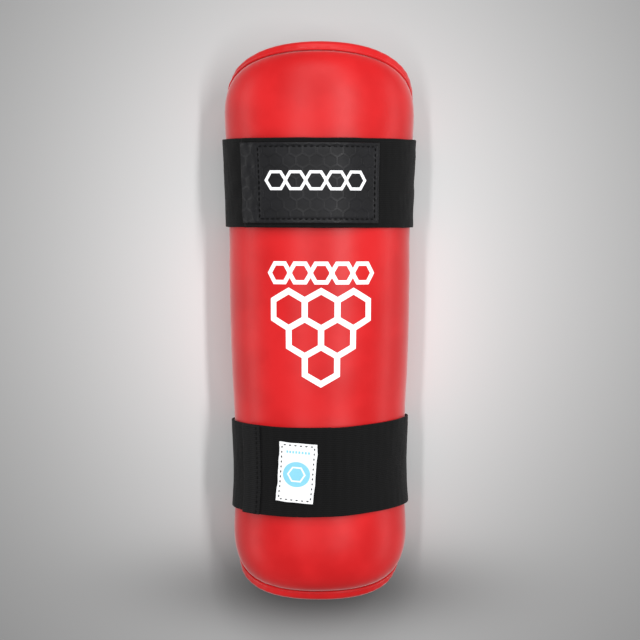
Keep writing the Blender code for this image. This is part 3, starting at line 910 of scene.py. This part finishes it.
class GUARD_OT_binding(GuardOperator, bpy.types.Operator):
    """Strip folded round the guard's edge, with the welt along the pad's seam"""

    bl_idname = "guard.binding"
    bl_label = "Edge binding"

    def build(self, context):
        """A closed section carried round the pattern's edge: over the front with a slight crown, round
        a half circle, along the back, and back through the channel that holds the panel. Its outside
        puckers in waves along the edge."""
        guard = Guard()
        form = guard.form
        crown_height, pucker_depth, pucker_pitch, bump_depth = 0.00035, 0.00010, 0.0058, 0.00010
        face = np.linspace(0, 1, 9)
        bend = np.linspace(math.pi / 2, -math.pi / 2, 11)
        crown = crown_height * np.sin(math.pi * face)
        radius, channel, middle = guard.binding_radius, guard.channel_radius, guard.channel_middle
        front_inset = form.binding_width + (radius - form.binding_width) * face
        outside_inset = [front_inset[:-1], radius - radius * np.cos(bend), front_inset[::-1][1:]]
        hollow_inset = radius - channel * np.cos(bend[::-1])
        inset = np.concatenate([*outside_inset, front_inset[:1], hollow_inset, front_inset[:1]])
        lift = np.concatenate([
            guard.binding_top + crown[:-1], middle + radius * np.sin(bend), middle - radius - crown[::-1][1:],
            [middle - channel], middle + channel * np.sin(bend[::-1]), [middle + channel],
        ])
        share = np.clip((inset - radius) / (form.binding_width - radius), 0, 1)
        tilt = np.where(lift > middle, form.pad_tilt * share, 0)
        grid = np.array([guard.outline(i, t) for i, t in zip(inset, tilt)])
        s, y = grid[:, 0], grid[:, 1]
        flat = guard.place(s, y, lift[:, None] + 0 * s)
        step = np.hypot(np.diff(s[0], append=s[0, 0]), np.diff(y[0], append=y[0, 0]))
        run = np.cumsum(step)[None, :]
        around = float(run[0, -1])
        waves = np.sin(run * math.tau / pucker_pitch + 2.5 * soft_noise(flat[0], 0.03, 21)[None, :])
        shown = np.zeros((len(inset), 1))
        shown[: sum(len(part) for part in outside_inset)] = 1
        front = (lift > middle)[:, None]
        puckers = pucker_depth * waves * shown * np.where(front, 1, 0.6)
        bumps = bump_depth * soft_noise(flat, 0.018, 22) * shown
        points = guard.place(s, y, lift[:, None] + np.where(front, 1.0, -1.0) * (puckers + bumps))
        points = points.transpose(1, 0, 2)
        section = np.cumsum(np.hypot(np.diff(inset, prepend=inset[0]), np.diff(lift, prepend=lift[0])))
        uv = strip_places(run.T, section)
        uv = np.concatenate([uv, uv[:1] + [around, 0]], axis=0)
        strip = ring_object("rim_binding", np.concatenate([points, points[:1]], axis=0), uv)
        leather = red_leather("binding_leather", tuple(context.scene.guard_colours.red), 0.40)
        leather.give(strip)
        settle(strip, "edge_binding")
        welt = self.welt(guard)
        leather.give(welt)
        settle(welt)

    def welt(self, guard):
        """The raised ridge along the seam: a thin tube on the binding's inner edge."""
        form = guard.form
        sides, sunk, raised = 10, 0.0009, 0.00012
        s, y = guard.outline(form.binding_width - sunk, form.pad_tilt)
        lift = guard.binding_top + raised
        middle = guard.place(s, y, np.full_like(s, lift))
        above = guard.place(s, y, np.full_like(s, lift + MM))
        up = (above - middle) / np.linalg.norm(above - middle, axis=-1, keepdims=True)
        tangent = np.roll(middle, -1, axis=0) - np.roll(middle, 1, axis=0)
        side = np.cross(tangent, up)
        side /= np.linalg.norm(side, axis=-1, keepdims=True)
        around = np.linspace(0, math.tau, sides, endpoint=False)
        radius = form.welt_radius * (1 + 0.10 * soft_noise(middle, 0.008, 31))[:, None, None]
        ring = side[:, None] * np.cos(around)[None, :, None] + up[:, None] * np.sin(around)[None, :, None]
        points = middle[:, None] + ring * radius
        points = np.concatenate([points, points[:1]], axis=0)[:, ::-1]
        uv = strip_places(np.linspace(0, 1, len(points))[:, None], np.arange(sides + 1) / sides)
        return ring_object("seam_welt", points, uv)


class GUARD_OT_straps(GuardOperator, bpy.types.Operator):
    """Both elastic straps and the hook tape under their free ends"""

    bl_idname = "guard.straps"
    bl_label = "Straps"

    def build(self, context):
        """A rounded strip section carried along each band, with slight ripples in the elastic."""
        guard = Guard()
        cloth = elastic_cloth("strap_elastic", tuple(context.scene.guard_colours.elastic))
        tape = hook_cloth()
        for name, band, seed in zip(("upper", "lower"), strap_bands(guard), (41, 43)):
            strap = self.strap(band, f"{name}_elastic_strap", seed)
            cloth.give(strap)
            settle(strap, f"{name}_strap")
            long = band.whole + guard.strap.overlap
            hook = self.hook(band, f"{name}_hook_tape")
            tape.give(hook)
            settle(hook, f"{name}_strap_hook")

    @staticmethod
    def strap(band, name, seed):
        """One strap from its free end to its end underneath. Its edges sway, and ripple more than its
        middle. Past its overlap, ripples stay within 0.2 mm."""
        size = band.strap
        rounding, step, most = 0.00045, 0.0011, 0.0002
        across, height = rounded_section(size.width, size.thickness, rounding)
        run = np.arange(0.0, band.whole + size.overlap, step)[:, None]
        flat = strip_places(run, across)
        lengthwise = flat * [1.0, 0.0]
        fine = soft_noise(flat * [1.0, 0.25], 0.004, seed + 1)
        ripple = 0.00009 * soft_noise(flat, 0.014, seed) + 0.00005 * fine
        edge = ease(0.018, 0.025, np.abs(across))
        ripple = ripple + edge * 0.00005 * soft_noise(lengthwise, 0.010, seed + 2)
        shown = np.where(run < size.overlap + 0.004, ripple, np.clip(ripple, -most, most))
        lift = band.layer(run) + height + shown * (height / size.thickness)
        sway = 0.00006 * soft_noise(lengthwise, 0.02, seed + 3)
        sway *= np.abs(across) / (size.width / 2)
        return ring_object(name, band.points(run, across + sway, lift), flat, capped=True)

    @staticmethod
    def hook(band, name):
        """The hook tape between a strap's layers."""
        size = band.strap
        rounding, rows, columns = 0.0003, 28, 25
        across, height = rounded_section(size.hook_width, size.hook_thickness, rounding, columns)
        start = size.overlap - size.hook_length - size.hook_margin
        run = np.linspace(start, start + size.hook_length, rows)[:, None]
        points = band.points(run, across, size.thickness + GAP + height)
        return ring_object(name, points, strip_places(run, across), capped=True)


def hook_cloth():
    """Hook tape: rows of tiny dark hooks 1.2 mm apart."""
    finish = Finish("hook_tape")
    u, v = finish.pattern()
    rows = (u * (math.tau / 0.0012)).sine() * (v * (math.tau / 0.0009)).sine()
    tone = finish.mix(rows.ease(-0.2, 0.8), (0.006, 0.006, 0.006), (0.03, 0.03, 0.03))
    finish.set(Base_Color=tone, Roughness=0.7)
    finish.relief(rows * 0.5 + 0.5, 0.0003)
    return finish


class GUARD_OT_patch(GuardOperator, bpy.types.Operator):
    """Leather patch on the upper strap's free end, with its stitches"""

    bl_idname = "guard.patch"
    bl_label = "Patch"

    def build(self, context):
        """A rounded strip section along the band: pressed down at its stitches by a bell curve,
        slightly crowned inside them, and wrinkled on its free tab."""
        guard = Guard()
        trim = context.scene.guard_trim
        band, _ = strap_bands(guard)
        rounding, rows, columns = 0.00045, 200, 121
        wrinkle_depth, unevenness, groove_depth = 0.00022, 0.00007, 0.00028
        across, height = rounded_section(trim.patch_width, trim.patch_thickness, rounding, columns)
        run = np.linspace(0.0, trim.patch_length, rows)[:, None]
        flat = strip_places(run, across)
        tab = 1 - ease(trim.patch_tab * 0.7, trim.patch_tab * 1.1, run)
        wrinkle = tab * (wrinkle_depth * soft_noise(flat * [1.0, 0.45], 0.0055, 51) + 0.0001)
        wrinkle = wrinkle + unevenness * soft_noise(flat, 0.02, 52)
        top = height / trim.patch_thickness
        lift = band.layer(run) + guard.strap.thickness + GAP + height
        lift = lift + top * (wrinkle - groove_depth * self.groove(trim, flat))
        patch = ring_object("leather_patch", band.points(run, across, lift), flat, capped=True)
        patch_leather(trim).give(patch)
        settle(patch, "strap_patch")
        stitches = self.stitches(trim, band)

    @staticmethod
    def groove(trim, flat):
        """1 on the stitch lines and 0 away from them: exp(-(distance / 0.8 mm)^2)."""
        u, v = flat[..., 0], flat[..., 1]
        low, high = trim.patch_tab, trim.patch_length - trim.patch_margin
        side = trim.patch_width / 2 - trim.patch_margin
        inside = (u > low - MM) & (u < high + MM) & (np.abs(v) < side + MM)
        near = np.minimum(np.minimum(np.abs(u - low), np.abs(u - high)), np.abs(np.abs(v) - side))
        return np.where(inside, np.exp(-((near / 0.0008) ** 2)), 0.0)

    @staticmethod
    def stitches(trim, band):
        """Stitches round the patch's frame, each 2.2 mm of thread that dips in at both ends."""
        low, high = trim.patch_tab, trim.patch_length - trim.patch_margin
        side = trim.patch_width / 2 - trim.patch_margin
        corners = [(low, -side), (high, -side), (high, side), (low, side)]
        middles, ways = stitch_places(corners, trim.patch_pitch)
        lift = band.strap.thickness + GAP + trim.patch_thickness
        return sew("patch", band, middles, ways, length=0.0022, radius=0.00028, lift=lift)


def stitch_places(corners, pitch):
    """Middles and directions of stitches along a closed outline, at an even pitch on each side."""
    middles, ways = [], []
    for start, end in zip(corners, corners[1:] + corners[:1]):
        start, end = np.array(start), np.array(end)
        length = np.linalg.norm(end - start)
        count = max(int(round(length / pitch)), 1)
        shares = (np.arange(count) + 0.5) / count
        middles.append(start + shares[:, None] * (end - start))
        ways.append(np.repeat([(end - start) / length], count, axis=0))
    return np.concatenate(middles), np.concatenate(ways)


def sew(name, band, middles, ways, length, radius, lift):
    """Stitches on a band: each follows the surface and dips in at its ends, as a half sine."""
    steps = 7
    share = np.linspace(-0.5, 0.5, steps)
    flat = middles[:, None] + share[None, :, None] * length * ways[:, None]
    run, across = flat[..., 0], flat[..., 1]
    lift = band.layer(run) + lift + radius * (np.cos(math.pi * share) - 0.75)
    lines = band.points(run, across, lift)
    ups = (band.points(run, across, lift + MM) - lines) / MM
    stitches = thread_object(f"{name}_stitches", lines, ups, radius)
    thread(f"{name}_thread").give(stitches)
    settle(stitches)
    return stitches


def thread(name):
    """Black polyester thread with a fine twist."""
    finish = Finish(name)
    at = finish.place()
    twist = finish.noise(at, 0.0003, 2.0)
    colour = tuple(bpy.context.scene.guard_colours.thread)
    tone = finish.mix(twist.ease(0.3, 0.7), colour, tuple(part * 3 for part in colour))
    finish.set(Base_Color=tone, Roughness=0.7, Specular_IOR_Level=0.12)
    finish.relief(twist, 0.0001)
    return finish


def patch_leather(trim):
    """Charcoal leather: fine grain, a faint pressed honeycomb, and a row of white hexagon outlines."""
    colours = bpy.context.scene.guard_colours
    finish = Finish("patch_leather")
    u, v = finish.pattern()
    at = finish.place()
    middle = trim.patch_tab / 2 + trim.patch_length / 2 - 0.0022
    centres = [(middle + step * 0.0105, 0.0013) for step in (-2, -1, 0, 1, 2)]
    mask = honeycomb_lines(u, v, centres, 0.0054, 0.0016)
    press = pressed_honeycomb(finish, u, v, 0.0070, 0.0009)
    colour = tuple(colours.patch)
    cloudy = finish.noise(at, 0.01, 3.0)
    darker, paler = tuple(part * 0.8 for part in colour), tuple(part * 1.25 for part in colour)
    tone = finish.mix(cloudy.ease(0.3, 0.7), darker, paler)
    tone = finish.mix(mask, tone, tuple(colours.white))
    height = leather_grain(finish, at) * 0.25 + press * 0.6 + mask * 0.3
    worn = (finish.noise(at, 0.004, 4.0) - 0.5) * 0.16
    gloss = worn + press * 0.12 + mask * 0.1 + 0.42
    finish.set(Base_Color=tone, Roughness=gloss, Specular_IOR_Level=0.24)
    finish.relief(height, 0.00016, 0.8)
    return finish


def pressed_honeycomb(finish, u, v, size, line):
    """A honeycomb over the whole surface: 0 on its lines and 1 inside its cells. The nearest of two
    offset grids of cell centres gives the cell, and a hexagon's distance its lines."""
    wide, tall = size, size * math.sqrt(3)
    offs = []
    for shift in (0.0, 0.5):
        across = ((u / wide + shift).part() - 0.5) * wide
        up = ((v / tall + shift).part() - 0.5) * tall
        offs.append(abs(across).above(abs(across) * 0.5 + abs(up) * math.sqrt(0.75)))
    edge = wide / 2 - offs[0].below(offs[1])
    return edge.ease(line * 0.3, line)


def folded(leaf, level, bend):
    """One face of a wall folded round a strap's end, as places along it and heights: a leaf, half a
    circle, and a leaf at the opposite height."""
    there = np.stack([leaf, np.full_like(leaf, level)])
    back = np.stack([leaf[::-1], np.full_like(leaf, -level)])
    return np.concatenate([there, abs(level) * np.stack([-np.cos(bend), np.sin(bend)]), back], axis=1)


class GUARD_OT_end_binding(GuardOperator, bpy.types.Operator):
    """Strip folded round the lower strap's free end, with its stitches"""

    bl_idname = "guard.end_binding"
    bl_label = "Strap end binding"

    def build(self, context):
        """A folded wall carried across the strap: a leaf on top, a half circle round the strap's end
        and a leaf below, with a wall's own rounded ends."""
        guard = Guard()
        trim = context.scene.guard_trim
        _, band = strap_bands(guard)
        inner = guard.strap.thickness / 2 + GAP
        outer = inner + trim.end_thickness
        half = trim.end_thickness / 2
        bend = np.linspace(math.pi / 2, -math.pi / 2, 11)
        leaf = np.linspace(trim.end_length, 0.0, 15)[:-1]
        tip = np.linspace(-math.pi / 2, math.pi / 2, 7)[1:-1]
        outside, inside = folded(leaf, outer, bend), folded(leaf, -inner, bend[::-1])
        low_tip = np.stack([trim.end_length + half * np.cos(tip), -outer + half + half * np.sin(tip)])
        high_tip = np.stack([trim.end_length + half * np.cos(tip), inner + half + half * np.sin(tip)])
        run, height = np.concatenate([outside, low_tip, inside, high_tip], axis=1)
        across = np.linspace(-guard.strap.width / 2, guard.strap.width / 2, 121)[:, None]
        flat = strip_places(run, across)
        outer_face = (np.abs(height) > inner + half) * np.sign(height)
        margin, side_margin, pitch = 0.0016, 0.0015, 0.0026
        ripple_depth, groove_depth, groove_reach = 0.00008, 0.0002, 0.0007
        stitch_at = trim.end_length - margin
        groove = np.exp(-(((run - stitch_at) / groove_reach) ** 2))
        ripple = outer_face * (ripple_depth * soft_noise(flat, 0.006, 61))
        ripple = ripple - outer_face * groove_depth * groove
        middle = band.top_layer + guard.strap.thickness / 2
        points = band.points(run, across, middle + height + ripple)
        strip = ring_object("strap_end_strip", points, flat, capped=True)
        tape = tuple(part * 2.2 for part in context.scene.guard_colours.elastic)
        elastic_cloth("end_tape", tape).give(strip)
        settle(strip, "strap_end_binding")
        side = guard.strap.width / 2 - side_margin
        count = int(2 * side / pitch)
        middles = np.stack([np.full(count, stitch_at), np.linspace(-side, side, count)], axis=-1)
        ways = np.repeat([[0.0, 1.0]], count, axis=0)
        lift = guard.strap.thickness / 2 + outer
        stitches = sew(
            "strap_end", band, middles, ways, length=0.0019, radius=0.00024, lift=lift
        )


class GUARD_OT_label(GuardOperator, bpy.types.Operator):
    """Woven label on the lower strap, with its stitches"""

    bl_idname = "guard.label"
    bl_label = "Label"

    def build(self, context):
        """A thin turned rectangle on the band, drawn in at its stitches and wavy along its edges."""
        guard = Guard()
        trim = context.scene.guard_trim
        _, band = strap_bands(guard)
        rounding, rows, columns = 0.0003, 70, 97
        sway, groove_depth, groove_reach, waviness = 0.00010, 0.00022, 0.0006, 0.00006
        across, height = rounded_section(trim.label_height, trim.label_thickness, rounding, columns)
        along = np.linspace(-trim.label_length / 2, trim.label_length / 2, rows)[:, None]
        flat = strip_places(along, across)
        u, v = flat[..., 0], flat[..., 1]
        draw = sway * (soft_noise(v[..., None], 0.012, 71) * np.abs(u) / (trim.label_length / 2))
        pull = sway * (soft_noise(u[..., None], 0.012, 72) * np.abs(v) / (trim.label_height / 2))
        side_u = trim.label_length / 2 - trim.label_margin
        side_v = trim.label_height / 2 - trim.label_margin
        near = np.minimum(np.abs(np.abs(u) - side_u), np.abs(np.abs(v) - side_v))
        sunk = groove_depth * np.exp(-((near / groove_reach) ** 2))
        top = height / trim.label_thickness
        wavy = waviness * soft_noise(flat, 0.006, 73)
        lift = guard.strap.thickness + GAP + height + top * (wavy - sunk)
        run, up = self.askew(trim, u + draw, v + pull)
        label = ring_object("label_cloth", band.points(run, up, band.layer(run) + lift), flat, capped=True)
        label_weave(trim).give(label)
        settle(label, "woven_label")
        corners = [(-side_u, -side_v), (side_u, -side_v), (side_u, side_v), (-side_u, side_v)]
        middles, ways = stitch_places(corners, trim.label_pitch)
        places = np.stack(self.askew(trim, *middles.T), axis=-1)
        turned = np.stack(Guard.turned(*ways.T, trim.label_tilt), axis=-1)
        lift = guard.strap.thickness + GAP + trim.label_thickness
        stitches = sew("label", band, places, turned, length=0.0014, radius=0.00030, lift=lift)

    @staticmethod
    def askew(trim, u, v):
        """Label places turned by its tilt and moved to its place on the strap."""
        run, up = Guard.turned(u, v, trim.label_tilt)
        return trim.label_from_end + run, up


def label_weave(trim):
    """White satin label: fine crossed threads, a dashed light-blue line, and a light-blue disc with a
    hexagon's white outline."""
    colours = bpy.context.scene.guard_colours
    finish = Finish("label_weave")
    u, v = finish.pattern()
    warp = (u * (math.tau / 0.00045)).sine() * 0.5 + 0.5
    weft = (v * (math.tau / 0.00035)).sine() * 0.5 + 0.5
    weave = warp * 0.5 + weft * 0.5
    low = v + 0.0008
    disc = (u * u + low * low) ** 0.5 - 0.0071
    inner = abs(hexagon(u, v, (0.0, -0.0008), 0.0044))
    motif = (1 - disc.ease(-0.0001, 0.0001)) * inner.ease(0.0003, 0.0005)
    dashes = abs((u / 0.0016).part() - 0.5) * 0.0016 - 0.0005
    line = 1 - (abs(v - 0.0116) - 0.0007).above(abs(u) - 0.0064).above(dashes).ease(-0.0001, 0.0001)
    blue = motif.above(line)
    white = tuple(colours.white)
    ground = finish.mix(weave, tuple(part * 0.94 for part in white), white)
    threads = finish.mix(weave, tuple(part * 0.85 for part in colours.light_blue), tuple(colours.light_blue))
    tone = finish.mix(blue, ground, threads)
    finish.set(Base_Color=tone, Roughness=0.6, Sheen_Weight=0.1)
    finish.relief(weave * 0.8 + blue * 0.2, 0.00012, 0.7)
    return finish


class GUARD_OT_stage(GuardOperator, bpy.types.Operator):
    """Floor, soft lights and camera"""

    bl_idname = "guard.stage"
    bl_label = "Stage"

    def build(self, context):
        """Sets up the floor, the lights and the camera above the guard."""
        stage = context.scene.guard_stage
        guard = Guard()
        self.floor(context, stage)
        self.lights(context)
        data = bpy.data.cameras.new("camera")
        data.lens = stage.lens
        data.sensor_width = 36
        data.clip_start = 0.05
        camera = add_object("camera", data)
        eye = Vector((stage.camera_across, stage.camera_along, guard.axis_height + stage.camera_height))
        turned = Matrix.Rotation(-stage.camera_tilt, 4, "X") @ Matrix.Rotation(stage.camera_roll, 4, "Z")
        camera.matrix_world = Matrix.Translation(eye) @ turned
        context.scene.camera = camera
        context.scene.view_settings.view_transform = "Standard"

    @staticmethod
    def floor(context, stage):
        """A pale floor just below the guard, with light and shade painted into its colour. A bell curve
        paints it darker outwards, down to a quarter, as painted shade; one beside the guard paints it paler,
        as painted light; and one below the ankle end paints a darker pool, as a painted shadow."""
        half, low = stage.floor_size / 2, -0.0002
        corners = [(-half, -half, low), (half, -half, low), (half, half, low), (-half, half, low)]
        mesh = bpy.data.meshes.new("floor")
        mesh.from_pydata(corners, [], [(0, 1, 2, 3)])
        floor = add_object("floor", mesh)
        finish = Finish("floor_light_and_shade")
        at = finish.place()
        x, y = finish.split(at)
        # painted shadow: a darker pool on the floor below the ankle end
        painted_shadow_pool = bell(x, y, (0.0, -0.160), (0.090, 0.024)) * 0.82
        # painted light: a paler band on the floor beside the guard
        painted_light_band = bell(x, y, (0.0, 0.000), (0.076, 0.140)) * 0.32
        # painted shade: the floor darkens outwards, down to a quarter of its grey
        painted_falloff = bell(x, y, (0.0, 0.026), (0.200, 0.225)) * 0.75 + 0.25
        # the floor's colour carries this painted light and shade
        share = (painted_falloff * 0.95 + painted_light_band) * (1 - painted_shadow_pool)
        share = share * (finish.noise(at, 0.25, 2.0) * 0.02 + 0.98)
        grey = tuple(context.scene.guard_colours.floor)
        finish.set(Base_Color=finish.mix(share, (0.0, 0.0, 0.0), grey), Roughness=0.75)
        finish.give(floor)

    @staticmethod
    def lights(context):
        """Soft boxes at both sides and two strips above, each long along the guard, a wide box beyond
        its knee end, and a pale sky."""
        boxes = (
            ("left_box", (-1.40, 0.0, 0.12), (0.22, 1.6), 5.5),
            ("right_box", (1.40, 0.0, 0.12), (0.22, 1.6), 5.5),
            ("left_strip", (-0.44, 0.25, 1.46), (0.09, 1.2), 7.0),
            ("right_strip", (0.60, 0.25, 1.40), (0.10, 1.2), 12.5),
            ("top_box", (0.0, 1.2, 1.2), (1.2, 0.4), 7.0),
        )
        along, aim = Vector((0, 1, 0)), Vector((0, 0, 0.04))
        for name, place, size, power in boxes:
            data = bpy.data.lights.new(name, "AREA")
            data.shape = "RECTANGLE"
            data.size, data.size_y = size
            data.energy = power
            back = (Vector(place) - aim).normalized()
            across = along.cross(back).normalized()
            axes = Matrix((across, back.cross(across), back)).transposed()
            add_object(name, data).matrix_world = Matrix.Translation(place) @ axes.to_4x4()
        world = bpy.data.worlds.new("pale_sky")
        world.use_nodes = True
        sky = world.node_tree.nodes["Background"]
        sky.inputs["Color"].default_value = (1.0, 1.0, 1.0, 1.0)
        sky.inputs["Strength"].default_value = 0.45
        context.scene.world = world


class GUARD_PT_panel(bpy.types.Panel):
    """Lists the guard's pieces and sizes"""

    bl_idname = "GUARD_PT_panel"
    bl_label = "Shin guard"
    bl_space_type = "VIEW_3D"
    bl_region_type = "UI"
    bl_category = "Shin guard"

    def draw(self, context):
        """One button for each operator, then every size and colour."""
        column = self.layout.column(align=True)
        for operator in OPERATORS:
            column.operator(operator.bl_idname)
        for name, group in GROUPS.items():
            box = self.layout.box()
            for prop in group.__annotations__:
                box.prop(getattr(context.scene, name), prop)


GROUPS = {
    "guard_form": GuardForm,
    "guard_strap": StrapForm,
    "guard_trim": TrimForm,
    "guard_colours": GuardColours,
    "guard_stage": StageForm,
}
OPERATORS = (
    GUARD_OT_pad,
    GUARD_OT_panel,
    GUARD_OT_binding,
    GUARD_OT_straps,
    GUARD_OT_patch,
    GUARD_OT_end_binding,
    GUARD_OT_label,
    GUARD_OT_stage,
)


def register():
    """Registers the classes and hangs the property groups on the scene."""
    for group in (*GROUPS.values(), *OPERATORS, GUARD_PT_panel):
        bpy.utils.register_class(group)
    for name, group in GROUPS.items():
        setattr(bpy.types.Scene, name, PointerProperty(type=group))


def unregister():
    """Takes the property groups and the classes away again."""
    for name in GROUPS:
        delattr(bpy.types.Scene, name)
    for group in (GUARD_PT_panel, *reversed(OPERATORS), *GROUPS.values()):
        bpy.utils.unregister_class(group)


def main():
    """Builds every piece and the stage."""
    register()
    bpy.ops.guard.pad()
    bpy.ops.guard.panel()
    bpy.ops.guard.binding()
    bpy.ops.guard.straps()
    bpy.ops.guard.patch()
    bpy.ops.guard.end_binding()
    bpy.ops.guard.label()
    bpy.ops.guard.stage()


if __name__ == "__main__":
    main()
